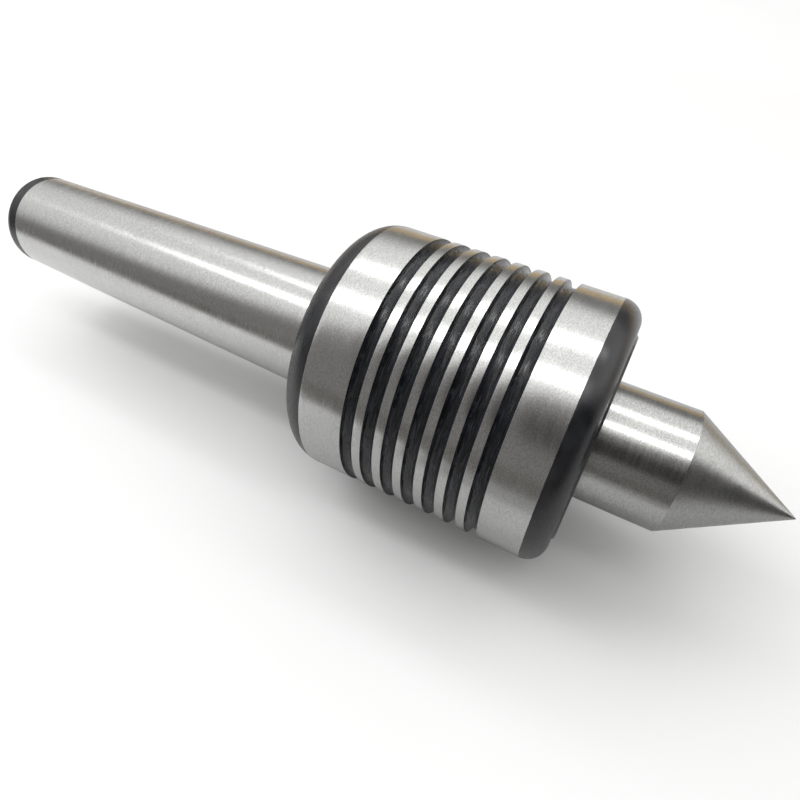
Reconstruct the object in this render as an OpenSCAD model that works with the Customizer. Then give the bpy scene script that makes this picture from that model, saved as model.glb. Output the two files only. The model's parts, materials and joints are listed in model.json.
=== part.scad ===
// Live center with a Morse taper 4 shank. The axis is X, the point faces +X, and the origin is on
// the axis at the taper's gauge plane. Millimetres.

/* [Taper shank] */
// Diameter of the taper at its gauge plane
gauge_d = 31.267; // [31:0.001:32]
// Length over which the diameter shrinks by 1
taper_rate = 19.254; // [19:0.001:20]
// From the gauge plane to the body's rear shoulder
gauge_to_shoulder = 6.5; // [5:0.5:8]
// From the gauge plane to the small end
shank_len = 102.5; // [80:0.5:120]
// Rounding of the small end
shank_end_r = 3; // [2:0.5:6]
// Pilot drill of the centre hole in the small end
end_hole_d = 5; // [3:0.5:8]
// Length of that pilot drill's cylinder
end_hole_len = 8; // [5:1:14]
// Mouth of its 60 degree countersink
end_sink_d = 10.6; // [9:0.1:14]

/* [Body] */
// Diameter of the ground outside
body_d = 62; // [60:1:72]
// From the rear shoulder to the front face
body_len = 65; // [65:1:80]
// Rounding of the rear edge
rear_edge_r = 8; // [3:0.5:10]
// Rounding of the front edge
front_edge_r = 5; // [2:0.5:5]
// Number of grooves
groove_count = 7; // [1:1:7]
// From one groove's middle to the next
groove_pitch = 5; // [4:0.25:5]
// Width of a half-round groove
groove_w = 3; // [1:0.25:3.5]
// From the rear shoulder to the first groove's middle
first_groove = 19; // [14:0.5:20]

/* [Rotating point] */
// Diameter of the nose
nose_d = 28; // [24:0.5:28]
// From the body's front face to the tip
point_reach = 42.5; // [36:0.5:60]
// Included angle of the point
point_angle = 60; // [45:1:90]
// Diameter of the flange between the bearings
flange_d = 38; // [37:0.5:40]
// Thickness of that flange
flange_w = 6; // [4:0.5:7]
// Diameter of the shaft between the thrust and needle bearings
waist_d = 20; // [17:0.5:20.5]
// End of the rear journal, behind the gauge plane
journal_end = 20; // [19.5:0.5:21]

/* [Angular contact bearings] */
// Bore, also the diameter of the seat and of the locknut's thread
radial_bore = 30; // [29.5:0.5:31]
// Outer diameter
radial_od = 47; // [46:0.5:47.5]
// Width of one bearing
radial_w = 9; // [8:0.5:9]
// Ball diameter
radial_ball_d = 5.5; // [5:0.25:5.5]
// Balls in each bearing
radial_balls = 16; // [10:1:16]

/* [Thrust bearing] */
// Bore of the shaft washer
thrust_bore = 25; // [24:0.5:25]
// Outer diameter
thrust_od = 42; // [41:0.5:42]
// Height
thrust_h = 11; // [11:0.5:12]
// Ball diameter
thrust_ball_d = 6; // [5:0.25:6]
// Number of balls
thrust_balls_n = 14; // [8:1:14]
// Thickness of the shim behind it
shim_t = 1; // [0.5:0.1:2]

/* [Needle bearing] */
// Diameter of the journal
needle_bore = 15; // [14.5:0.5:15]
// Outer diameter of the drawn cup
needle_od = 21; // [21:0.5:21]
// Length of the cup
needle_w = 16; // [12:1:16]
// Diameter of the space that a needle rolls in
needle_d = 2; // [1.5:0.1:2]
// Number of needles
needle_count = 18; // [10:1:18]

/* [Front cover] */
// From the body's front face to the bearing that the cover clamps
cover_len = 10; // [10:0.5:12]
// Pitch diameter of the cover's thread
cover_thread_d = 49; // [48.5:0.5:50]
// Pitch of that thread
thread_pitch = 1.5; // [1:0.25:1.5]
// Circle of the spanner holes
spanner_pcd = 39; // [38.5:0.5:40]
// Diameter of a spanner hole
spanner_hole_d = 3.5; // [2:0.25:3.5]
// Number of spanner holes
spanner_holes = 4; // [2:1:8]

/* [Clearances] */
// Between a ball and its raceways
ball_gap = 0.1; // [0.05:0.01:0.15]
// Between a needle and its raceways
needle_gap = 0.05; // [0.02:0.01:0.1]
// Between a rolling element and its cage
cage_gap = 0.15; // [0.1:0.01:0.2]
// Between the seal's lip and the nose
seal_gap = 0.05; // [0.02:0.01:0.1]
// Between the nose and the cover's bore
nose_gap = 0.3; // [0.2:0.05:0.5]

/* [Hidden] */
$fn = 128;

// Stations along the axis, from the small end to the tip
shank_end_x = -shank_len;
shoulder_x = gauge_to_shoulder;
face_x = shoulder_x + body_len;
tip_x = face_x + point_reach;
cover_rear_x = face_x - cover_len;
cover_face_x = face_x + 0.5;
pair_mid_x = cover_rear_x - radial_w;
flange_front_x = pair_mid_x - radial_w;
flange_rear_x = flange_front_x - flange_w;
thrust_rear_x = flange_rear_x - thrust_h;
bore_floor_x = thrust_rear_x - shim_t;
needle_front_x = -2;
needle_rear_x = needle_front_x - needle_w;
journal_front_x = needle_front_x + 3;
cone_base_x = tip_x - nose_d / 2 / tan(point_angle / 2);

// Front cover: counterbore for the locknut, seal pocket and lip
locknut_w = 4;
tab_washer_t = 1;
locknut_x = cover_rear_x + tab_washer_t;
pocket_rear_x = locknut_x + locknut_w + 0.5;
seal_w = 3;
pocket_front_x = pocket_rear_x + seal_w;
collar_x = pocket_rear_x - 0.4;
counterbore_r = 20;
pocket_r = 17;
cover_r = cover_thread_d / 2;
cover_chamfer = 0.5;
thread_depth = 0.6;
spanner_hole_depth = 3;
o_ring_section = 1.5;
o_ring_groove_w = 1.8;
o_ring_groove_depth = 1.6;
o_ring_x = face_x - 1.9;

// Locknut and tab washer
locknut_r = 19;
locknut_slot_w = 4;
locknut_slot_depth = 1.5;
locknut_slots = 4;
tab_w = 3.6;
tab_washer_r = 18.4;
keyway_w = 4;
keyway_depth = 1.5;

// Bearings
radial_pitch_r = (radial_bore + radial_od) / 4;
radial_shoulder = 1.75;
radial_cage_w = 7.4;
radial_cage_t = 2;
race_relief = 0.9;
thrust_pitch_r = (thrust_bore + thrust_od) / 4;
thrust_washer_t = 3;
thrust_ball_x = thrust_rear_x + thrust_h / 2;
thrust_cage_t = 3;
thrust_cage_in_r = thrust_bore / 2 + 0.5;
thrust_cage_out_r = thrust_od / 2 - 0.5;
housing_washer_bore = thrust_bore + 1;
needle_pitch_r = (needle_bore + needle_d) / 2;
needle_len = needle_w - 4;
needle_cage_t = 1.2;
needle_cage_w = needle_w - 2.4;
cup_lip_t = 0.8;
cup_lip_r = needle_bore / 2 + 0.8;
edge = 0.4;

function taper_r(x) = (gauge_d + x / taper_rate) / 2;

// Turns a profile of [radius, x] points about the X axis
module turned() {
    rotate([0, 90, 0]) rotate_extrude() children();
}

// A ring of rectangular section, as a profile
module section(r_in, r_out, x_low, x_high) {
    translate([r_in, x_low]) square([r_out - r_in, x_high - x_low]);
}

// A ring of rectangular section with its outer corners chamfered
module chamfered_section(r_in, r_out, x_low, x_high, c) {
    polygon([[r_in, x_low], [r_out - c, x_low], [r_out, x_low + c], [r_out, x_high - c],
             [r_out - c, x_high], [r_in, x_high]]);
}

// Repeats its children n times about the X axis
module around(n) {
    for (i = [0 : n - 1]) rotate([i * 360 / n, 0, 0]) children();
}

// Housing and shank --------------------------------------------------------------------------

module shank_profile() {
    end_x = shank_end_x + shank_end_r;
    end_r = taper_r(end_x);
    polygon([[0, end_x], [end_r, end_x], [taper_r(shoulder_x), shoulder_x], [0, shoulder_x]]);
    section(0, end_r - shank_end_r, shank_end_x, end_x);
    translate([end_r - shank_end_r, end_x]) circle(shank_end_r);
}

module housing_profile() {
    r = body_d / 2;
    rear_x = shoulder_x + rear_edge_r;
    front_x = face_x - front_edge_r;
    section(0, r, rear_x, front_x);
    section(0, r - rear_edge_r, shoulder_x, rear_x + 1);
    section(0, r - front_edge_r, front_x - 1, face_x);
    translate([r - rear_edge_r, rear_x]) circle(rear_edge_r);
    translate([r - front_edge_r, front_x]) circle(front_edge_r);
}

module groove_profiles() {
    for (i = [0 : groove_count - 1])
        translate([body_d / 2, shoulder_x + first_groove + i * groove_pitch]) circle(d = groove_w);
}

// The stepped bore, from the blind end in the shank to the mouth in the front face
module bore_profile() {
    end_r = needle_bore / 2 + 1;
    end_x = -journal_end - 2;
    cup_x = needle_rear_x - 0.5;
    waist_r = needle_od / 2 + 0.5;
    washer_x = thrust_rear_x + thrust_washer_t + 0.5;
    polygon([[0, end_x - end_r / tan(59)], [end_r, end_x], [end_r, cup_x], [needle_od / 2, cup_x],
             [needle_od / 2, needle_front_x + 1], [waist_r, needle_front_x + 1],
             [waist_r, bore_floor_x], [thrust_od / 2, bore_floor_x], [thrust_od / 2, washer_x],
             [thrust_od / 2 + 0.5, washer_x], [thrust_od / 2 + 0.5, flange_front_x],
             [radial_od / 2, flange_front_x], [radial_od / 2, cover_rear_x],
             [cover_r, cover_rear_x], [cover_r, face_x - cover_chamfer],
             [cover_r + cover_chamfer, face_x], [cover_r + cover_chamfer, face_x + 1],
             [0, face_x + 1]]);
}

// Centre hole in the small end: pilot drill, 60 degree countersink and protecting step
module end_hole_profile() {
    pilot_r = end_hole_d / 2;
    sink_r = end_sink_d / 2;
    step = 0.6;
    sink_x = shank_end_x + step;
    pilot_x = sink_x + (sink_r - pilot_r) / tan(30);
    tip_depth = pilot_r / tan(59);
    polygon([[0, shank_end_x - 1], [sink_r + 1, shank_end_x - 1], [sink_r + 1, shank_end_x],
             [sink_r, sink_x], [pilot_r, pilot_x], [pilot_r, pilot_x + end_hole_len],
             [0, pilot_x + end_hole_len + tip_depth]]);
}

module body() {
    color("silver") turned() difference() {
        union() {
            shank_profile();
            housing_profile();
        }
        groove_profiles();
        bore_profile();
        end_hole_profile();
    }
}

// Front cover --------------------------------------------------------------------------------

// V-shaped rings that stand for the thread's turns
module thread_profile(r, x_low, x_high, pitch, depth) {
    turns = floor((x_high - x_low) / pitch);
    for (i = [0 : turns - 1])
        translate([r, x_low + (i + 0.5) * pitch])
            polygon([[0.01, -pitch / 2 + 0.1], [-depth, 0], [0.01, pitch / 2 - 0.1], [1, 0]]);
}

module front_cover() {
    color("#26272b") difference() {
        turned() difference() {
            polygon([[counterbore_r, cover_rear_x], [cover_r - cover_chamfer, cover_rear_x],
                     [cover_r, cover_rear_x + cover_chamfer], [cover_r, cover_face_x - cover_chamfer],
                     [cover_r - cover_chamfer, cover_face_x], [nose_d / 2 + nose_gap, cover_face_x],
                     [nose_d / 2 + nose_gap, pocket_front_x], [pocket_r, pocket_front_x],
                     [pocket_r, pocket_rear_x], [counterbore_r, pocket_rear_x]]);
            section(cover_r - o_ring_groove_depth, cover_r + 1,
                    o_ring_x - o_ring_groove_w / 2, o_ring_x + o_ring_groove_w / 2);
            thread_profile(cover_r, cover_rear_x + 1, o_ring_x - o_ring_groove_w / 2 - 0.3,
                           thread_pitch, thread_depth);
        }
        around(spanner_holes) translate([cover_face_x - spanner_hole_depth, 0, spanner_pcd / 2])
            rotate([0, 90, 0]) cylinder(d = spanner_hole_d, h = spanner_hole_depth + 1);
    }
}

module cover_o_ring() {
    color("#1b1b1d") turned()
        translate([cover_r - 0.05 - o_ring_section / 2, o_ring_x]) circle(d = o_ring_section);
}

// Seal with a heel in the pocket and a lip that leans forward onto the nose
module shaft_seal() {
    lip_r = nose_d / 2 + seal_gap;
    web_r = pocket_r - 1;
    color("#3a2f2a") turned()
        polygon([[web_r, pocket_rear_x], [pocket_r, pocket_rear_x], [pocket_r, pocket_front_x],
                 [lip_r + 0.7, pocket_front_x], [lip_r, pocket_front_x - 0.4],
                 [lip_r, pocket_front_x - 0.8], [lip_r + 0.8, pocket_front_x - 1.2],
                 [web_r, pocket_front_x - 1.2]]);
}

// Rotating parts -----------------------------------------------------------------------------

module spindle_profile() {
    seat_r = radial_bore / 2;
    journal_r = needle_bore / 2;
    thrust_seat_x = thrust_rear_x - 0.5;
    flange_r = flange_d / 2;
    polygon([[0, -journal_end], [journal_r - 1, -journal_end], [journal_r, -journal_end + 1],
             [journal_r, journal_front_x], [waist_d / 2 - 1, journal_front_x],
             [waist_d / 2, journal_front_x + 1], [waist_d / 2, thrust_seat_x],
             [thrust_bore / 2 - 0.5, thrust_seat_x], [thrust_bore / 2, thrust_seat_x + 0.5],
             [thrust_bore / 2, flange_rear_x], [flange_r - 0.5, flange_rear_x],
             [flange_r, flange_rear_x + 0.5], [flange_r, flange_front_x - 0.5],
             [flange_r - 0.5, flange_front_x], [seat_r, flange_front_x], [seat_r, collar_x - 0.5],
             [seat_r - 0.5, collar_x], [nose_d / 2, collar_x], [nose_d / 2, cone_base_x],
             [0, tip_x]]);
}

module spindle() {
    hole_r = 1.6;
    sink_r = 3.3;
    sink_len = (sink_r - hole_r) / tan(30);
    color("gainsboro") difference() {
        turned() difference() {
            spindle_profile();
            polygon([[0, -journal_end - 1], [sink_r, -journal_end - 1], [sink_r, -journal_end],
                     [hole_r, -journal_end + sink_len], [hole_r, -journal_end + 2 * sink_len],
                     [0, -journal_end + 2 * sink_len + hole_r / tan(59)]]);
        }
        translate([cover_rear_x, -keyway_w / 2, radial_bore / 2 - keyway_depth])
            cube([collar_x - cover_rear_x, keyway_w, keyway_depth + 1]);
    }
}

module bearing_locknut() {
    color("#4a4b50") difference() {
        turned() chamfered_section(radial_bore / 2, locknut_r, locknut_x, locknut_x + locknut_w, edge);
        around(locknut_slots)
            translate([locknut_x - 1, -locknut_slot_w / 2, locknut_r - locknut_slot_depth])
                cube([locknut_w + 2, locknut_slot_w, locknut_slot_depth + 1]);
    }
}

// Washer with one tab in the spindle's keyway and one bent forward into a slot of the locknut
module locknut_tab_washer() {
    inner_tab_r = radial_bore / 2 - keyway_depth + 0.2;
    bent_r = locknut_r - locknut_slot_depth + 0.1;
    color("silver") {
        turned() section(radial_bore / 2, tab_washer_r, cover_rear_x, locknut_x);
        translate([cover_rear_x, -tab_w / 2, inner_tab_r])
            cube([tab_washer_t, tab_w, radial_bore / 2 + 1 - inner_tab_r]);
        translate([cover_rear_x, -tab_w / 2, bent_r])
            cube([tab_washer_t + locknut_w / 2, tab_w, tab_washer_t]);
    }
}

// Angular contact bearings -------------------------------------------------------------------

// side is 1 when the relieved shoulder of the outer ring faces the point, -1 when it faces away
module radial_outer_ring(x, side) {
    race_r = radial_ball_d / 2 + ball_gap;
    land_r = radial_pitch_r + radial_shoulder;
    half = radial_w / 2;
    turned() translate([0, x]) difference() {
        chamfered_section(land_r, radial_od / 2, -half, half, edge);
        translate([radial_pitch_r, 0]) circle(race_r);
        polygon([[land_r - 1, 0], [land_r, 0], [land_r + race_relief, side * 1.5],
                 [land_r + race_relief, side * (half + 1)], [land_r - 1, side * (half + 1)]]);
    }
}

module radial_inner_ring(x) {
    turned() translate([0, x]) difference() {
        section(radial_bore / 2, radial_pitch_r - radial_shoulder, -radial_w / 2, radial_w / 2);
        translate([radial_pitch_r, 0]) circle(radial_ball_d / 2 + ball_gap);
    }
}

module radial_ball_set(x) {
    around(radial_balls) translate([x, 0, radial_pitch_r]) sphere(d = radial_ball_d);
}

module radial_cage(x) {
    difference() {
        turned() translate([0, x]) section(radial_pitch_r - radial_cage_t / 2,
                                           radial_pitch_r + radial_cage_t / 2,
                                           -radial_cage_w / 2, radial_cage_w / 2);
        around(radial_balls) translate([x, 0, radial_pitch_r - radial_cage_t])
            cylinder(r = radial_ball_d / 2 + cage_gap, h = 2 * radial_cage_t);
    }
}

front_bearing_x = cover_rear_x - radial_w / 2;
middle_bearing_x = pair_mid_x - radial_w / 2;

module front_outer_ring() { color("lightsteelblue") radial_outer_ring(front_bearing_x, 1); }
module front_inner_ring() { color("lightsteelblue") radial_inner_ring(front_bearing_x); }
module front_balls() { color("white") radial_ball_set(front_bearing_x); }
module front_cage() { color("goldenrod") radial_cage(front_bearing_x); }
module middle_outer_ring() { color("lightsteelblue") radial_outer_ring(middle_bearing_x, -1); }
module middle_inner_ring() { color("lightsteelblue") radial_inner_ring(middle_bearing_x); }
module middle_balls() { color("white") radial_ball_set(middle_bearing_x); }
module middle_cage() { color("goldenrod") radial_cage(middle_bearing_x); }

// Thrust bearing -----------------------------------------------------------------------------

module thrust_race_profile() {
    translate([thrust_pitch_r, thrust_ball_x]) circle(thrust_ball_d / 2 + ball_gap);
}

module thrust_shaft_washer() {
    color("lightsteelblue") turned() difference() {
        section(thrust_bore / 2, thrust_od / 2, flange_rear_x - thrust_washer_t, flange_rear_x);
        thrust_race_profile();
    }
}

module thrust_housing_washer() {
    color("lightsteelblue") turned() difference() {
        section(housing_washer_bore / 2, thrust_od / 2, thrust_rear_x,
                thrust_rear_x + thrust_washer_t);
        thrust_race_profile();
    }
}

module thrust_balls() {
    color("white") around(thrust_balls_n)
        translate([thrust_ball_x, 0, thrust_pitch_r]) sphere(d = thrust_ball_d);
}

module thrust_cage() {
    color("goldenrod") difference() {
        turned() section(thrust_cage_in_r, thrust_cage_out_r, thrust_ball_x - thrust_cage_t / 2,
                         thrust_ball_x + thrust_cage_t / 2);
        around(thrust_balls_n) translate([thrust_ball_x - thrust_cage_t, 0, thrust_pitch_r])
            rotate([0, 90, 0]) cylinder(r = thrust_ball_d / 2 + cage_gap, h = 2 * thrust_cage_t);
    }
}

module thrust_shim() {
    color("#b08d57") turned()
        section(housing_washer_bore / 2, thrust_od / 2, bore_floor_x, thrust_rear_x);
}

// Needle bearing -----------------------------------------------------------------------------

module needle_cup() {
    color("lightsteelblue") turned() difference() {
        chamfered_section(cup_lip_r, needle_od / 2, needle_rear_x, needle_front_x, edge);
        section(0, needle_pitch_r + needle_d / 2, needle_rear_x + cup_lip_t,
                needle_front_x - cup_lip_t);
    }
}

module needle_rollers() {
    x = (needle_rear_x + needle_front_x - needle_len) / 2;
    color("white") around(needle_count) translate([x, 0, needle_pitch_r])
        rotate([0, 90, 0]) cylinder(r = needle_d / 2 - needle_gap, h = needle_len);
}

module needle_cage() {
    mid_x = (needle_rear_x + needle_front_x) / 2;
    slot_w = needle_d + cage_gap - 0.05;
    slot_len = needle_len + 0.3;
    color("goldenrod") difference() {
        turned() section(needle_pitch_r - needle_cage_t / 2, needle_pitch_r + needle_cage_t / 2,
                         mid_x - needle_cage_w / 2, mid_x + needle_cage_w / 2);
        around(needle_count)
            translate([mid_x - slot_len / 2, -slot_w / 2, needle_pitch_r - needle_cage_t])
                cube([slot_len, slot_w, 2 * needle_cage_t]);
    }
}

body();
front_cover();
cover_o_ring();
shaft_seal();
spindle();
bearing_locknut();
locknut_tab_washer();
front_outer_ring();
front_inner_ring();
front_balls();
front_cage();
middle_outer_ring();
middle_inner_ring();
middle_balls();
middle_cage();
thrust_shaft_washer();
thrust_balls();
thrust_cage();
thrust_housing_washer();
thrust_shim();
needle_cup();
needle_rollers();
needle_cage();
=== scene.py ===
"""Looks of the live center: camera, table, light, materials and the turned outer pieces."""
import json
import math

import bmesh
import bpy
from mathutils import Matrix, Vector


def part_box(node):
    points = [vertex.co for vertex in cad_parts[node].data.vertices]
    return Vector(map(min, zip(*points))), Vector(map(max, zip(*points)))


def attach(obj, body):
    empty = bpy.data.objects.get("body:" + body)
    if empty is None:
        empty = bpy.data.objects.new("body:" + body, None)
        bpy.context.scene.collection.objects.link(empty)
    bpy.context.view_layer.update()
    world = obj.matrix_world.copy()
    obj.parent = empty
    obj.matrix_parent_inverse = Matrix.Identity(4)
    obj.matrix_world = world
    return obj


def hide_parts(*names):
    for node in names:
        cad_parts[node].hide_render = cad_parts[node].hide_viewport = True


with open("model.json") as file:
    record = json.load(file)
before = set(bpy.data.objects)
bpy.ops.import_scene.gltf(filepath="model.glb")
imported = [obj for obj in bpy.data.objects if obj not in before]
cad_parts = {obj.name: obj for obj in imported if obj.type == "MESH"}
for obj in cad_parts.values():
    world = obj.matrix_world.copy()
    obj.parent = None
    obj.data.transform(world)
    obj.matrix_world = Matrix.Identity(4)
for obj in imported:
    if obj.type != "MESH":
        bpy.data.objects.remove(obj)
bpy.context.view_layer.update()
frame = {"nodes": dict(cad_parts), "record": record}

MM = 0.001
BODY_LOW, BODY_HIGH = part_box("body")
COVER_LOW, COVER_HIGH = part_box("front_cover")
SPINDLE_LOW, SPINDLE_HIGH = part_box("spindle")
FLOOR_Z = BODY_LOW.z

# Taper shank
GAUGE_R = 31.267 / 2 * MM
TAPER_RATE = 19.254
SHANK_END_X = BODY_LOW.x
SHANK_END_R = 3 * MM
END_PILOT_R = 2.5 * MM
END_SINK_R = 5.3 * MM
END_STEP = 0.6 * MM
END_FLARE = 1 * MM
END_PILOT_LEN = 8 * MM
CENTRE_HALF_ANGLE = math.radians(30)
DRILL_HALF_ANGLE = math.radians(59)

# Housing
SHOULDER_X = 6.5 * MM
FACE_X = BODY_HIGH.x
HOUSING_R = 31 * MM
REAR_EDGE_R = 8 * MM
FRONT_EDGE_R = 5 * MM
GROOVES = 7
GROOVE_PITCH = 5 * MM
GROOVE_R = 1.5 * MM
FIRST_GROOVE_X = SHOULDER_X + 19 * MM
GROOVED_FROM_X = FIRST_GROOVE_X - 2 * GROOVE_R
GROOVED_TO_X = FACE_X - 8 * MM
BORE_RELIEF = 0.5 * MM
BORE_CHAMFER = 0.5 * MM
CUP_STEP = 1 * MM
BORE_END_R = 8.5 * MM
BORE_END_GAP = 2 * MM

# Black oxide stays on the rounded ends and in the grooves, and grinding has made the rest bright
GROUND_FROM_X = 13.5 * MM
GROUND_TO_X = 66.6 * MM
SHANK_GROUND_FROM_X = -97.4 * MM
OXIDE_BLEND = 0.12 * MM
# A point this near the housing's outside or the taper's surface counts as lying on it
OUTSIDE_DEPTH = 1.6 * MM
SKIN_BELOW = 0.1 * MM
SKIN_ABOVE = 0.05 * MM

# Rotating point
NOSE_R = 14 * MM
TIP_X = SPINDLE_HIGH.x
POINT_HALF_ANGLE = math.radians(30)
TIP_R = 0.2 * MM
CONE_BASE_X = TIP_X - NOSE_R / math.tan(POINT_HALF_ANGLE)
JOURNAL_FRONT_X = 1 * MM
JOURNAL_HOLE_R = 1.6 * MM
JOURNAL_SINK_R = 3.3 * MM
STEP_CHAMFER = 1 * MM
SEAT_CHAMFER = 0.5 * MM
SEAT_GAP = 0.5 * MM
COLLAR_GAP = 0.1 * MM
# Rear journal, waist, thrust bearing's seat, flange and front bearings' seat, in millimetres
SPINDLE_DIAMETERS = (15, 20, 25, 38, 30)

# Turning
SEGMENTS = 256
ARC_STEP = math.radians(4)
CORNER_R = 0.12 * MM
SHARP_TURN = math.radians(12)
CORNER_STEPS = (0.0, 0.25, 0.5, 0.75, 1.0)
EDGE_SHARE = 0.4
LONGEST_STRETCH = 4 * MM
MARKED_MIN_R = 12 * MM
# Lengths too small to matter, in metres
CLOSE = 1e-6
ON_AXIS = 1e-7


# Node building --------------------------------------------------------------------------------

class Graph:
    """A node tree, with short calls that add nodes and join them."""

    def __init__(self, tree):
        self.tree = tree
        tree.nodes.clear()

    def add(self, kind, inputs=None, **settings):
        node = self.tree.nodes.new(kind)
        for name, value in settings.items():
            setattr(node, name, value)
        for key, value in (inputs or {}).items():
            if isinstance(value, bpy.types.NodeSocket):
                self.tree.links.new(value, node.inputs[key])
            else:
                node.inputs[key].default_value = value
        return node

    def math(self, operation, first, second=0.0):
        return self.add("ShaderNodeMath", {0: first, 1: second}, operation=operation).outputs[0]

    def span(self, value, low, high, start=0.0, end=1.0):
        """Runs smoothly from `start` to `end` as the value runs from `low` to `high`."""
        inputs = {"Value": value, "From Min": low, "From Max": high, "To Min": start, "To Max": end}
        return self.add("ShaderNodeMapRange", inputs, interpolation_type="SMOOTHSTEP").outputs[0]

    def noise(self, vector, scale, detail=2.0, roughness=0.5):
        inputs = {"Vector": vector, "Scale": scale, "Detail": detail, "Roughness": roughness}
        return self.add("ShaderNodeTexNoise", inputs).outputs[0]

    def mix(self, factor, first, second):
        node = self.add("ShaderNodeMix", {"Factor": factor}, data_type="RGBA")
        for key, value in ((6, first), (7, second)):
            if isinstance(value, bpy.types.NodeSocket):
                self.tree.links.new(value, node.inputs[key])
            else:
                node.inputs[key].default_value = (*value, 1.0)
        return node.outputs[2]

    def lathe_lines(self, across, around):
        """Noise coordinates that run in rings: `across` is a line's width, `around` its length."""
        position = self.add("ShaderNodeTexCoord").outputs["Object"]
        parts = self.add("ShaderNodeSeparateXYZ", {"Vector": position})
        flat = self.add("ShaderNodeCombineXYZ", {"Y": parts.outputs[1], "Z": parts.outputs[2]})
        radius = self.add("ShaderNodeVectorMath", {0: flat.outputs[0]}, operation="LENGTH")
        along = self.math("ADD", parts.outputs[0], radius.outputs["Value"])
        inputs = {
            "X": self.math("MULTIPLY", along, 1 / across),
            "Y": self.math("MULTIPLY", parts.outputs[1], 1 / around),
            "Z": self.math("MULTIPLY", parts.outputs[2], 1 / around),
        }
        return self.add("ShaderNodeCombineXYZ", inputs).outputs[0]

    def toward(self, direction, side):
        """Cosine between two directions."""
        inputs = {0: direction, 1: side}
        return self.add("ShaderNodeVectorMath", inputs, operation="DOT_PRODUCT").outputs["Value"]

    def fade(self, factor, first, second):
        """Runs from the first number to the second as the factor runs from 0 to 1."""
        inputs = {"Factor": factor, 2: first, 3: second}
        return self.add("ShaderNodeMix", inputs).outputs[0]

    def bump(self, height, strength, distance, normal=None):
        inputs = {"Height": height, "Strength": strength, "Distance": distance}
        if normal is not None:
            inputs["Normal"] = normal
        return self.add("ShaderNodeBump", inputs).outputs[0]

    def turned_tangent(self):
        """The direction round the X axis, in which turned steel has its lines."""
        return self.add("ShaderNodeTangent", direction_type="RADIAL", axis="X").outputs[0]

    def surface(self, **inputs):
        shader = self.add("ShaderNodeBsdfPrincipled", inputs)
        self.add("ShaderNodeOutputMaterial", {"Surface": shader.outputs[0]})


def new_material(name, view_color):
    material = bpy.data.materials.new(name)
    material.use_nodes = True
    material.diffuse_color = (*view_color, 1.0)
    return material, Graph(material.node_tree)


# Materials ------------------------------------------------------------------------------------

STEEL = (0.61, 0.61, 0.60)
STEEL_DULL = (0.45, 0.45, 0.44)
POINT_STEEL = (0.54, 0.54, 0.53)
POINT_STEEL_DULL = (0.38, 0.38, 0.37)
OXIDE = (0.004, 0.0045, 0.006)
OXIDE_WORN = (0.012, 0.0125, 0.015)
# Lighter colour of the turning lines in the grooves: a painted glint
OXIDE_PAINTED_GLINT = (0.022, 0.024, 0.029)
CONE_TONE = (0.20, 0.20, 0.195)
RUBBER = (0.02, 0.02, 0.02)
RUBBER_TONES = (0.012, 0.012, 0.013), (0.030, 0.029, 0.028)
# Metals inside the housing: colour, dull colour, lowest and highest roughness
INNER_METALS = {
    "bearing_steel": ((0.60, 0.60, 0.60), (0.50, 0.50, 0.50), 0.15, 0.25),
    "bearing_ball": ((0.75, 0.75, 0.75), (0.70, 0.70, 0.70), 0.04, 0.08),
    "cage_brass": ((0.68, 0.52, 0.24), (0.55, 0.40, 0.18), 0.25, 0.38),
    "plain_steel": ((0.52, 0.52, 0.52), (0.42, 0.42, 0.41), 0.28, 0.42),
}

# Lowest and highest roughness
HOUSING_ROUGH = (0.20, 0.28)
POINT_ROUGH = (0.19, 0.27)
OXIDE_ROUGH = (0.24, 0.32)
RUBBER_ROUGH = (0.5, 0.7)
CONE_ROUGHER = 0.08
GROOVE_GLOSS = 0.55

# Turning marks: width of a line and its length round the axis
FINE_MARKS = (0.14 * MM, 0.9 * MM)
BROAD_MARKS = (0.7 * MM, 8 * MM)
GRAIN_MARKS = (0.30 * MM, 0.30 * MM)
FILM_MARKS = (9 * MM, 16 * MM)
OXIDE_MARKS = (0.16 * MM, 3.5 * MM)
OXIDE_BLOOM = (2.5 * MM, 6 * MM)
RAGGED_MARKS = (0.4 * MM, 1.2 * MM)
RUBBER_PORES = 4000.0

# How much each kind of mark counts
FINE_IN_TONE, GRAIN_IN_TONE = 0.35, 0.65
BROAD_IN_ROUGH, FILM_IN_ROUGH = 0.6, 0.4
FINE_IN_HEIGHT = 0.5
RAGGED_AMOUNT = 0.7
CONE_IN_TONE = 0.25

# Noise values, or amounts of oxide, between which a look changes
TONE_RANGE = (0.36, 0.64)
ROUGH_RANGE = (0.3, 0.7)
OXIDE_MARK_RANGE = (0.44, 0.62)
BLOOM_TONE_RANGE = (0.35, 0.75)
OXIDE_EDGE_RANGE = (0.44, 0.56)
GROOVE_RANGE = (1.2, 1.8)

# Bumps: strength and height
STEEL_BUMP = (0.2, 0.005 * MM)
OXIDE_BUMP = (0.6, 0.012 * MM)
STREAK_BUMP = (0.8, 0.05 * MM)
POINT_BUMP = (0.25, 0.005 * MM)
INNER_BUMP = (0.3, 0.004 * MM)
RUBBER_BUMP = (0.4, 0.02 * MM)

# Highlights stretched along the axis
QUARTER_TURN = 0.25
HOUSING_STRETCH = 0.6
OXIDE_STRETCH = 0.4
POINT_STRETCH = 0.45
OXIDE_SPECULAR = 0.55


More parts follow.
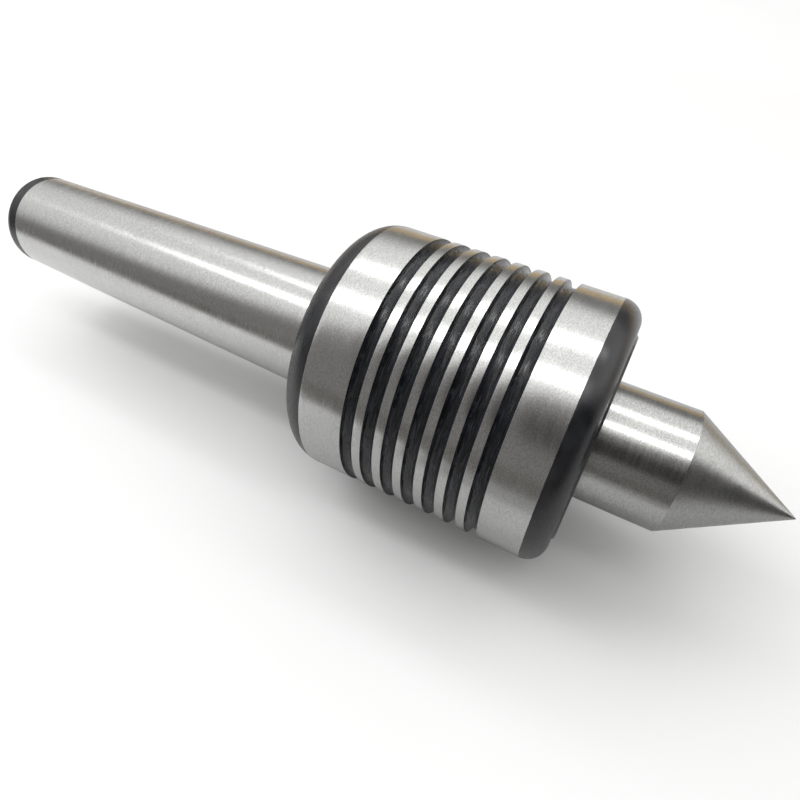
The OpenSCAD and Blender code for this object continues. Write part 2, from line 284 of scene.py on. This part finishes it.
def steel_parts(graph, rough_low, rough_high, color, dull):
    """Colour, roughness and bump of steel with fine grinding lines."""
    fine = graph.noise(graph.lathe_lines(*FINE_MARKS), 1.0)
    broad = graph.noise(graph.lathe_lines(*BROAD_MARKS), 1.0)
    grain = graph.noise(graph.lathe_lines(*GRAIN_MARKS), 1.0, roughness=0.7)
    film = graph.noise(graph.lathe_lines(*FILM_MARKS), 1.0)
    shade = graph.math("ADD", graph.math("MULTIPLY", fine, FINE_IN_TONE),
                       graph.math("MULTIPLY", grain, GRAIN_IN_TONE))
    tone = graph.mix(graph.span(shade, *TONE_RANGE), dull, color)
    rough = graph.math("ADD", graph.math("MULTIPLY", broad, BROAD_IN_ROUGH),
                       graph.math("MULTIPLY", film, FILM_IN_ROUGH))
    roughness = graph.span(rough, *ROUGH_RANGE, rough_low, rough_high)
    height = graph.math("ADD", graph.math("MULTIPLY", fine, FINE_IN_HEIGHT), grain)
    return tone, roughness, height


def oxide_parts(graph):
    """Colour, roughness and bump of turned steel under black oxide."""
    lines = graph.noise(graph.lathe_lines(*OXIDE_MARKS), 1.0, roughness=0.6)
    lines = graph.span(lines, *OXIDE_MARK_RANGE)
    bloom = graph.noise(graph.lathe_lines(*OXIDE_BLOOM), 1.0)
    tone = graph.mix(graph.span(bloom, *BLOOM_TONE_RANGE), OXIDE, OXIDE_WORN)
    roughness = graph.span(bloom, *ROUGH_RANGE, *OXIDE_ROUGH)
    return tone, roughness, lines


def housing_material():
    """Ground steel, with black oxide where the attribute `oxide` says so, and turning lines in the
    grooves that are bumped and lightened in colour as painted glints.
    """
    material, graph = new_material("ground_steel", STEEL)
    steel_tone, steel_rough, steel_height = steel_parts(graph, *HOUSING_ROUGH, STEEL, STEEL_DULL)
    oxide_tone, oxide_rough, oxide_height = oxide_parts(graph)
    amount = graph.add("ShaderNodeAttribute", attribute_name="oxide").outputs["Fac"]
    ragged = graph.noise(graph.lathe_lines(*RAGGED_MARKS), 1.0, 3.0, 0.6)
    shift = graph.math("MULTIPLY", graph.math("SUBTRACT", ragged, 0.5), RAGGED_AMOUNT)
    mask = graph.span(graph.math("ADD", amount, shift), *OXIDE_EDGE_RANGE)
    in_groove = graph.span(amount, *GROOVE_RANGE)
    groove_lines_and_glint = graph.math("MULTIPLY", oxide_height, in_groove)
    glossier = graph.span(in_groove, 0.0, 1.0, 1.0, GROOVE_GLOSS)
    oxide_rough = graph.math("MULTIPLY", oxide_rough, glossier)
    # Painted glint: the turning lines in the grooves get a lighter colour, standing in for lamp light
    # caught on them
    oxide_tone = graph.mix(groove_lines_and_glint, oxide_tone, OXIDE_PAINTED_GLINT)
    oxide_strength, oxide_depth = OXIDE_BUMP
    streak_strength, streak_depth = STREAK_BUMP
    normal = graph.bump(steel_height, *STEEL_BUMP)
    normal = graph.bump(oxide_height, graph.math("MULTIPLY", mask, oxide_strength), oxide_depth, normal)
    normal = graph.bump(groove_lines_and_glint, graph.math("MULTIPLY", mask, streak_strength), streak_depth, normal)
    graph.surface(**{
        "Base Color": graph.mix(mask, steel_tone, oxide_tone),
        "Metallic": graph.math("SUBTRACT", 1.0, mask),
        "Roughness": graph.fade(mask, steel_rough, oxide_rough), "Normal": normal,
        "Tangent": graph.turned_tangent(), "Anisotropic": HOUSING_STRETCH,
        "Anisotropic Rotation": QUARTER_TURN, "Specular IOR Level": OXIDE_SPECULAR,
    })
    return material


def black_oxide():
    material, graph = new_material("black_oxide", OXIDE)
    tone, roughness, height = oxide_parts(graph)
    graph.surface(**{
        "Base Color": tone, "Roughness": roughness, "Normal": graph.bump(height, *OXIDE_BUMP),
        "Tangent": graph.turned_tangent(), "Anisotropic": OXIDE_STRETCH,
        "Anisotropic Rotation": QUARTER_TURN, "Specular IOR Level": OXIDE_SPECULAR,
    })
    return material


def spindle_material():
    """Fine-ground nose, and a point whose cone is a little duller."""
    material, graph = new_material("polished_steel", STEEL)
    tone, roughness, height = steel_parts(graph, *POINT_ROUGH, POINT_STEEL, POINT_STEEL_DULL)
    cone = graph.add("ShaderNodeAttribute", attribute_name="cone").outputs["Fac"]
    tone = graph.mix(graph.math("MULTIPLY", cone, CONE_IN_TONE), tone, CONE_TONE)
    roughness = graph.math("ADD", roughness, graph.math("MULTIPLY", cone, CONE_ROUGHER))
    graph.surface(**{
        "Base Color": tone, "Metallic": 1.0, "Roughness": roughness,
        "Normal": graph.bump(height, *POINT_BUMP),
        "Tangent": graph.turned_tangent(), "Anisotropic": POINT_STRETCH,
        "Anisotropic Rotation": QUARTER_TURN,
    })
    return material


def metal_material(name, color, dull, rough_low, rough_high):
    """A turned or ground metal inside the housing."""
    material, graph = new_material(name, color)
    tone, roughness, height = steel_parts(graph, rough_low, rough_high, color, dull)
    graph.surface(**{
        "Base Color": tone, "Metallic": 1.0, "Roughness": roughness,
        "Normal": graph.bump(height, *INNER_BUMP),
    })
    return material


def rubber_material():
    material, graph = new_material("seal_rubber", RUBBER)
    pores = graph.noise(graph.add("ShaderNodeTexCoord").outputs["Object"], RUBBER_PORES, 3.0)
    tone = graph.mix(pores, *RUBBER_TONES)
    graph.surface(**{
        "Base Color": tone, "Roughness": graph.span(pores, *ROUGH_RANGE, *RUBBER_ROUGH),
        "Normal": graph.bump(pores, *RUBBER_BUMP),
    })
    return material


# Turned pieces --------------------------------------------------------------------------------

def arc(center_x, center_r, radius, start, end):
    """Points (x, r) on an arc; the angles are measured from +X towards larger r."""
    steps = max(2, math.ceil(abs(end - start) / ARC_STEP))
    angles = [start + (end - start) * i / steps for i in range(steps + 1)]
    return [(center_x + radius * math.cos(a), center_r + radius * math.sin(a)) for a in angles]


def softened(outline, radius):
    """The outline with each sharp corner off the axis rounded, as deburring leaves it."""
    points = [Vector(p) for p in outline]
    result = [points[0]]
    for before, corner, after in zip(points, points[1:], points[2:]):
        back, ahead = before - corner, after - corner
        turn = math.pi - back.angle(ahead)
        if turn < SHARP_TURN or corner.y < radius:
            result.append(corner)
            continue
        cut = min(radius * math.tan(turn / 2), EDGE_SHARE * back.length, EDGE_SHARE * ahead.length)
        start, end = corner + back.normalized() * cut, corner + ahead.normalized() * cut
        for t in CORNER_STEPS:
            result.append(start * (1 - t) ** 2 + corner * 2 * t * (1 - t) + end * t * t)
    result.append(points[-1])
    return [(p.x, p.y) for p in result]


def divided(outline):
    """The outline with long straight stretches cut into equal parts."""
    result = [outline[0]]
    for (x0, r0), (x1, r1) in zip(outline, outline[1:]):
        parts = max(1, math.ceil(math.hypot(x1 - x0, r1 - r0) / LONGEST_STRETCH))
        result += [(x0 + (x1 - x0) * i / parts, r0 + (r1 - r0) * i / parts)
                   for i in range(1, parts + 1)]
    return result


def turned_piece(name, outline, attribute, value_at, material):
    """Turns an outline about the X axis; `attribute` gets value_at(x, r) at every point."""
    mesh = bmesh.new()
    layer = mesh.verts.layers.float.new(attribute)
    rings = []
    for x, r in outline:
        count = SEGMENTS if r > ON_AXIS else 1
        ring = []
        for i in range(count):
            angle = 2 * math.pi * i / SEGMENTS
            vert = mesh.verts.new((x, r * math.cos(angle), r * math.sin(angle)))
            vert[layer] = value_at(x, r)
            ring.append(vert)
        rings.append(ring)
    for low, high in zip(rings, rings[1:]):
        for i in range(SEGMENTS):
            j = (i + 1) % SEGMENTS
            corners = [low[i % len(low)], low[j % len(low)], high[j % len(high)], high[i % len(high)]]
            mesh.faces.new(list(dict.fromkeys(corners)))
    bmesh.ops.recalc_face_normals(mesh, faces=mesh.faces)
    for face in mesh.faces:
        face.smooth = True
    mesh_data = bpy.data.meshes.new(name)
    mesh.to_mesh(mesh_data)
    mesh.free()
    piece = bpy.data.objects.new(name, mesh_data)
    bpy.context.scene.collection.objects.link(piece)
    mesh_data.materials.append(material)
    return piece


def taper_r(x):
    return GAUGE_R + x / TAPER_RATE / 2


def end_hole_outline():
    """Centre hole in the small end, from its bottom out to the end face."""
    sink_x = SHANK_END_X + END_STEP
    pilot_x = sink_x + (END_SINK_R - END_PILOT_R) / math.tan(CENTRE_HALF_ANGLE)
    bottom_x = pilot_x + END_PILOT_LEN
    drill_x = bottom_x + END_PILOT_R / math.tan(DRILL_HALF_ANGLE)
    return [(drill_x, 0), (bottom_x, END_PILOT_R), (pilot_x, END_PILOT_R), (sink_x, END_SINK_R),
            (SHANK_END_X, END_SINK_R + END_FLARE)]


def groove_outline(middle_x):
    return arc(middle_x, HOUSING_R, GROOVE_R, math.pi, 2 * math.pi)


def outside_outline():
    """From the small end over the shank and the grooved outside to the front face."""
    end_x = SHANK_END_X + SHANK_END_R
    points = arc(end_x, taper_r(end_x) - SHANK_END_R, SHANK_END_R, math.pi, math.pi / 2)
    points += [(SHANK_GROUND_FROM_X, taper_r(SHANK_GROUND_FROM_X)), (SHOULDER_X, taper_r(SHOULDER_X))]
    rear = (SHOULDER_X + REAR_EDGE_R, HOUSING_R - REAR_EDGE_R)
    points += arc(*rear, REAR_EDGE_R, math.pi, math.pi / 2)
    for i in range(GROOVES):
        points += groove_outline(FIRST_GROOVE_X + i * GROOVE_PITCH)
    front = (FACE_X - FRONT_EDGE_R, HOUSING_R - FRONT_EDGE_R)
    points += arc(*front, FRONT_EDGE_R, math.pi / 2, 0)
    return points


def bore_outline():
    """The stepped bore, from its mouth to its blind end, fitted to the bearings inside."""
    ring_low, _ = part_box("middle_outer_ring")
    shim_low, shim_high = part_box("thrust_shim")
    cup_low, cup_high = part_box("needle_cup")
    cover_r, cup_r, washer_r = COVER_HIGH.z, cup_high.z, shim_high.z
    ring_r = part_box("front_outer_ring")[1].z
    waist_r = cup_r + BORE_RELIEF
    end_x = SPINDLE_LOW.x - BORE_END_GAP
    washer_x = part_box("thrust_housing_washer")[1].x + BORE_RELIEF
    cup_front_x, cup_rear_x = cup_high.x + CUP_STEP, cup_low.x - BORE_RELIEF
    return [(FACE_X, cover_r + BORE_CHAMFER), (FACE_X - BORE_CHAMFER, cover_r),
            (COVER_LOW.x, cover_r), (COVER_LOW.x, ring_r), (ring_low.x, ring_r),
            (ring_low.x, washer_r + BORE_RELIEF), (washer_x, washer_r + BORE_RELIEF),
            (washer_x, washer_r), (shim_low.x, washer_r), (shim_low.x, waist_r),
            (cup_front_x, waist_r), (cup_front_x, cup_r), (cup_rear_x, cup_r),
            (cup_rear_x, BORE_END_R), (end_x, BORE_END_R),
            (end_x - BORE_END_R / math.tan(DRILL_HALF_ANGLE), 0)]


def oxide_at(x, r):
    """0 where grinding took the black oxide off, 1 where it is left, and 2 deep in a groove."""
    on_shank = SHANK_GROUND_FROM_X - OXIDE_BLEND < x < SHOULDER_X + CLOSE
    if on_shank and taper_r(x) - SKIN_BELOW < r < taper_r(x) + SKIN_ABOVE:
        return max(0.0, 0.5 - (x - SHANK_GROUND_FROM_X) / OXIDE_BLEND / 2)
    on_outside = GROUND_FROM_X - OXIDE_BLEND < x < GROUND_TO_X + OXIDE_BLEND
    if on_outside and r > HOUSING_R - OUTSIDE_DEPTH:
        rear = 0.5 - (x - GROUND_FROM_X) / OXIDE_BLEND / 2
        front = 0.5 + (x - GROUND_TO_X) / OXIDE_BLEND / 2
        if GROOVED_FROM_X < x < GROOVED_TO_X:
            return min(2.0, (HOUSING_R - r) / OXIDE_BLEND)
        return min(1.0, max(rear, front, 0.0))
    return 1.0


def with_points(outline, places):
    """The outline with extra points where it passes the given x positions, away from the axis."""
    result = [outline[0]]
    for (x0, r0), (x1, r1) in zip(outline, outline[1:]):
        for x in sorted(places, reverse=x1 < x0):
            if min(x0, x1) < x < max(x0, x1) and r0 > MARKED_MIN_R:
                result.append((x, r0 + (r1 - r0) * (x - x0) / (x1 - x0)))
        result.append((x1, r1))
    return result


def make_housing():
    outline = end_hole_outline() + outside_outline() + bore_outline()
    outline = softened(outline, CORNER_R)
    marks = [x + side * OXIDE_BLEND for x in (SHANK_GROUND_FROM_X, GROUND_FROM_X, GROUND_TO_X)
             for side in (-1, 1)]
    outline = divided(with_points(outline, marks))
    piece = turned_piece("housing_shell", outline, "oxide", oxide_at, housing_material())
    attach(piece, "housing")
    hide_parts("body")


def spindle_outline():
    """From the centre hole in the journal's end to the tip."""
    flange_front_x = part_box("middle_inner_ring")[0].x
    washer_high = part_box("thrust_shaft_washer")[1]
    seat_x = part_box("thrust_housing_washer")[0].x - SEAT_GAP
    collar_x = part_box("bearing_locknut")[1].x + COLLAR_GAP
    journal_x = SPINDLE_LOW.x
    sink_len = (JOURNAL_SINK_R - JOURNAL_HOLE_R) / math.tan(CENTRE_HALF_ANGLE)
    hole_end_x = journal_x + 2 * sink_len
    journal_r, waist_r, thrust_r, flange_r, seat_r = (d / 2 * MM for d in SPINDLE_DIAMETERS)
    ball_x = TIP_X - TIP_R / math.sin(POINT_HALF_ANGLE)
    points = [(hole_end_x + JOURNAL_HOLE_R / math.tan(DRILL_HALF_ANGLE), 0),
              (hole_end_x, JOURNAL_HOLE_R), (journal_x + sink_len, JOURNAL_HOLE_R),
              (journal_x, JOURNAL_SINK_R), (journal_x, journal_r - STEP_CHAMFER),
              (journal_x + STEP_CHAMFER, journal_r), (JOURNAL_FRONT_X, journal_r),
              (JOURNAL_FRONT_X, waist_r - STEP_CHAMFER), (JOURNAL_FRONT_X + STEP_CHAMFER, waist_r),
              (seat_x, waist_r), (seat_x, thrust_r - SEAT_CHAMFER), (seat_x + SEAT_CHAMFER, thrust_r),
              (washer_high.x, thrust_r), (washer_high.x, flange_r), (flange_front_x, flange_r),
              (flange_front_x, seat_r), (collar_x, seat_r), (collar_x, NOSE_R), (CONE_BASE_X, NOSE_R)]
    points = divided(softened(points + [(TIP_X, 0)], CORNER_R))[:-1]
    points = [p for p in points if p[0] < ball_x]
    return points + arc(ball_x, 0, TIP_R, math.pi / 2 - POINT_HALF_ANGLE, 0)


def cone_at(x, r):
    """1 on the cone and 0 on the rest of the spindle, whatever the radius."""
    return 1.0 if x > CONE_BASE_X + CLOSE else 0.0


def make_spindle():
    piece = turned_piece("live_spindle", spindle_outline(), "cone", cone_at, spindle_material())
    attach(piece, "rotor")
    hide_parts("spindle")


# Carried-over CAD nodes -----------------------------------------------------------------------

def finish_cad_nodes():
    """Gives each CAD node that shows as it is the material of its slot."""
    finishes = {name: metal_material(name, *finish) for name, finish in INNER_METALS.items()}
    finishes["black_oxide"] = black_oxide()
    finishes["seal_rubber"] = rubber_material()
    for part in frame["record"]["subparts"]:
        finish = finishes.get(part["material_slot"])
        if finish is None:
            continue
        materials = frame["nodes"][part["node"]].data.materials
        materials.clear()
        materials.append(finish)


# Stage ----------------------------------------------------------------------------------------

# The camera: place, turn and drop in degrees, and focal length in millimetres
VIEW_PLACE = (70.85 * MM, -89.99 * MM, 112.35 * MM)
VIEW_TURN = 118.385
VIEW_DROP = 51.375
VIEW_LENS = 27.51
SENSOR_WIDTH = 36
CLIP_START = 0.005

FLOOR_SIZE = 4.0
FLOOR_VIEW_COLOR = (0.8, 0.8, 0.8)
FLOOR_TONES = (0.63, 0.63, 0.632), (0.655, 0.655, 0.655)
FLOOR_CLOUDS = 6.0
FLOOR_ROUGH = 0.6

WHITE = (1.0, 1.0, 1.0)
BLACK = (0.0, 0.0, 0.0)
# Lamps that light the set and show in the steel: angles over the top, and ends along X
LAMP_DISTANCE = 0.9
LAMP_STRENGTH = 5.0
LAMPS = {
    "lamp_front": (80, 88, -0.8, 0.5),
    "lamp_back": (113, 121, -0.55, 0.5),
}
# Lamps that only light the set: place and strength
SOFTBOX_SIZE = 1.0
SOFTBOXES = {
    "key": ((-1.0, 0.1, 0.9), 5.0),
    "fill": ((0.6, -0.9, 0.7), 1.2),
}
# Strips that only show in the steel, as painted reflections: y, top and colour
REFLECTION_STRIP_ENDS = (-1.5, 1.5)
REFLECTION_STRIPS = {
    # A painted dark reflection on the viewer's side, and a painted ochre one behind the object
    "dark_reflection_strip": (-0.20, 0.025, (0.19, 0.18, 0.165)),
    "ochre_reflection_strip": (0.28, 0.03, (0.62, 0.48, 0.29)),
}

# The sheet of painted shade over the table, which darkens the table only where the steel reflects it:
# its ends, how much light it lets through, and where that changes
SHADE_SHEET_ALONG = (-0.30, 0.90)
SHADE_SHEET_ACROSS = (-0.45, 0.27)
SHADE_SHEET_HEIGHT = 0.5 * MM
SHADE_SHEET_VIEW_COLOR = (0.7, 0.7, 0.7)
SHADE_SHEET_FADE = (-0.10, 0.015)
SHADE_SHEET_FRONT = (1.0, 0.66)
SHADE_SHEET_BEHIND = 0.70
SHADE_SHEET_BEHIND_RANGE = (0.0, 0.03)
# A patch of painted shadow in the table's reflection, on the viewer's side of the point: how much light
# it lets through, and where
PAINTED_SHADOW_PATCH = (1.0, 0.62)
PAINTED_SHADOW_X = (0.0, 0.015)
PAINTED_SHADOW_Y = (-0.09, -0.12)

# Directions in the room: the middle of its bright half, and of a dark patch on the viewer's side
BRIGHT_SIDE = (-0.353, 0.862, 0.366)
SHADE_SIDE = (0.100, -0.739, 0.666)
# Ranges of the x of a direction, which is -1 towards the shank's side and 1 towards the point's
SHANK_SIDE = (-0.75, -0.35)
POINT_SIDE = (0.3, 0.8)
FADE_SIDE = (-0.3, 0.1)
DIM_RANGE = (-0.2, 0.9)
# Brightness of the two halves, from the shank's side to the point's side, and what the point's
# side adds to the bright one
BRIGHT_LEVELS = (1.05, 1.28)
BRIGHT_GAIN = 0.45
DIM_LEVELS = (0.27, 0.07)
# Heights between which the bright half gains its full brightness
FADE_STARTS = (0.10, 0.30)
FADE_START_DROP = 0.6
FADE_END = 0.58
FADE_LEVELS = (0.2, 1.0)
# The border between the halves, and how far it is moved at both sides
BORDER = (-0.05, 0.14)
BORDER_MOVED_AT_SHANK = (0.14, 0.0)
BORDER_MOVED_AT_POINT = 0.08
SHADE_RIM = (0.94, 0.99)
SHADE_LEVELS = (1.0, 0.2)
DIM_TINT = (1.0, 0.97, 0.94)
BRIGHT_TINT = (1.0, 1.0, 0.99)


def make_camera():
    """The camera stands close to where the photo was taken from, with the horizon level."""
    camera = bpy.data.objects.new("camera", bpy.data.cameras.new("camera"))
    turn, drop = math.radians(VIEW_TURN), math.radians(VIEW_DROP)
    look = Vector((math.cos(turn) * math.cos(drop), math.sin(turn) * math.cos(drop), -math.sin(drop)))
    camera.location = VIEW_PLACE
    camera.rotation_euler = look.to_track_quat("-Z", "Y").to_euler()
    camera.data.sensor_width = SENSOR_WIDTH
    camera.data.lens = VIEW_LENS
    camera.data.clip_start = CLIP_START
    bpy.context.scene.collection.objects.link(camera)
    bpy.context.scene.camera = camera


def flat_card(name, corners, material):
    """A flat piece of the set, hidden from the camera and casting no shadow."""
    mesh = bpy.data.meshes.new(name)
    mesh.from_pydata(corners, [], [tuple(range(len(corners)))])
    mesh.materials.append(material)
    card = bpy.data.objects.new(name, mesh)
    bpy.context.scene.collection.objects.link(card)
    card.visible_camera = False
    card.visible_shadow = False
    return card


def floor_material():
    material, graph = new_material("table", FLOOR_VIEW_COLOR)
    position = graph.add("ShaderNodeTexCoord").outputs["Object"]
    tone = graph.mix(graph.noise(position, FLOOR_CLOUDS, 3.0), *FLOOR_TONES)
    graph.surface(**{"Base Color": tone, "Roughness": FLOOR_ROUGH})
    return material


def glow(name, color, strength):
    material, graph = new_material(name, color)
    light = graph.add("ShaderNodeEmission", {"Color": (*color, 1.0), "Strength": strength})
    graph.add("ShaderNodeOutputMaterial", {"Surface": light.outputs[0]})
    return material


def around_axis(angle, distance):
    """The y and z of a place at an angle from the viewer's side (-Y) over the top."""
    return -distance * math.cos(angle), distance * math.sin(angle)


def make_lamp(name, angle_low, angle_high, left, right):
    """A long lamp parallel to the axis, which lights the set and shows in the steel."""
    y0, z0 = around_axis(math.radians(angle_low), LAMP_DISTANCE)
    y1, z1 = around_axis(math.radians(angle_high), LAMP_DISTANCE)
    corners = [(left, y0, z0), (right, y0, z0), (right, y1, z1), (left, y1, z1)]
    flat_card(name, corners, glow(name, WHITE, LAMP_STRENGTH))


def make_softbox(name, place, strength):
    """A square lamp aimed at the object, which lights the set but does not show in the steel."""
    center = Vector(place)
    side = center.cross(Vector((0, 0, 1))).normalized() * SOFTBOX_SIZE / 2
    rise = side.cross(center).normalized() * SOFTBOX_SIZE / 2
    corners = [center - side - rise, center + side - rise, center + side + rise, center - side + rise]
    card = flat_card(name, corners, glow(name, WHITE, strength))
    card.visible_glossy = False


def make_shade_sheet():
    """Paints shade on the table as the steel sees it, least towards the shank and most around the
    point, with a darker patch of painted shadow on the viewer's side of the point.
    """
    material, graph = new_material("painted_shade_sheet", SHADE_SHEET_VIEW_COLOR)
    position = graph.add("ShaderNodeTexCoord").outputs["Object"]
    parts = graph.add("ShaderNodeSeparateXYZ", {"Vector": position})
    along, across = parts.outputs[0], parts.outputs[1]
    in_front = graph.span(along, *SHADE_SHEET_FADE, *SHADE_SHEET_FRONT)
    amount = graph.fade(graph.span(across, *SHADE_SHEET_BEHIND_RANGE), in_front, SHADE_SHEET_BEHIND)
    painted_shadow = graph.math("MULTIPLY", graph.span(along, *PAINTED_SHADOW_X), graph.span(across, *PAINTED_SHADOW_Y))
    amount = graph.math("MULTIPLY", amount, graph.span(painted_shadow, 0.0, 1.0, *PAINTED_SHADOW_PATCH))
    # The camera, diffuse light and shadows don't see this sheet, so the shade it paints shows only in
    # the steel's reflections of the table
    clear = graph.add("ShaderNodeBsdfTransparent", {"Color": graph.mix(amount, BLACK, WHITE)})
    graph.add("ShaderNodeOutputMaterial", {"Surface": clear.outputs[0]})
    (left, right), (front, back), z = SHADE_SHEET_ALONG, SHADE_SHEET_ACROSS, FLOOR_Z + SHADE_SHEET_HEIGHT
    corners = [(left, front, z), (right, front, z), (right, back, z), (left, back, z)]
    card = flat_card("painted_shade_sheet", corners, material)
    card.visible_diffuse = False


def make_reflection_strip(name, y, top_z, color):
    """A low upright strip along the table that glows and only shows in the steel: a painted reflection.
    """
    left, right = REFLECTION_STRIP_ENDS
    corners = [(left, y, FLOOR_Z), (right, y, FLOOR_Z), (right, y, top_z), (left, y, top_z)]
    card = flat_card(name, corners, glow(name, color, 1.0))
    card.visible_diffuse = False


def make_floor():
    half = FLOOR_SIZE / 2
    corners = [(x, y, FLOOR_Z) for x, y in ((-half, -half), (half, -half), (half, half), (-half, half))]
    table = flat_card("table", corners, floor_material())
    table.visible_camera = True
    table.visible_shadow = True


def make_world():
    """A room that is bright behind and above the object, and dim on the viewer's side."""
    world = bpy.data.worlds.new("room")
    world.use_nodes = True
    graph = Graph(world.node_tree)
    direction = graph.add("ShaderNodeTexCoord").outputs["Generated"]
    parts = graph.add("ShaderNodeSeparateXYZ", {"Vector": direction})
    along, up = parts.outputs[0], parts.outputs[2]
    at_point = graph.span(along, *POINT_SIDE)
    bright = graph.math("ADD", graph.span(along, *SHANK_SIDE, *BRIGHT_LEVELS),
                        graph.math("MULTIPLY", at_point, BRIGHT_GAIN))
    fade_from = graph.math("SUBTRACT", graph.span(along, *FADE_SIDE, *FADE_STARTS),
                           graph.math("MULTIPLY", at_point, FADE_START_DROP))
    bright = graph.math("MULTIPLY", bright, graph.span(up, fade_from, FADE_END, *FADE_LEVELS))
    dim = graph.span(along, *DIM_RANGE, *DIM_LEVELS)
    moved = graph.math("ADD", graph.math("MULTIPLY", at_point, BORDER_MOVED_AT_POINT),
                       graph.span(along, *SHANK_SIDE, *BORDER_MOVED_AT_SHANK))
    side = graph.math("ADD", graph.toward(direction, BRIGHT_SIDE), moved)
    lit = graph.span(side, *BORDER)
    shade = graph.span(graph.toward(direction, SHADE_SIDE), *SHADE_RIM, *SHADE_LEVELS)
    strength = graph.math("MULTIPLY", graph.fade(lit, dim, bright), shade)
    inputs = {"Color": graph.mix(lit, DIM_TINT, BRIGHT_TINT), "Strength": strength}
    background = graph.add("ShaderNodeBackground", inputs)
    graph.add("ShaderNodeOutputWorld", {"Surface": background.outputs[0]})
    bpy.context.scene.world = world


def make_stage():
    make_camera()
    make_floor()
    make_world()
    for name, placing in LAMPS.items():
        make_lamp(name, *placing)
    for name, placing in SOFTBOXES.items():
        make_softbox(name, *placing)
    make_shade_sheet()
    for name, looks in REFLECTION_STRIPS.items():
        make_reflection_strip(name, *looks)
    bpy.context.scene.view_settings.view_transform = "Standard"


make_stage()
make_housing()
make_spindle()
finish_cad_nodes()
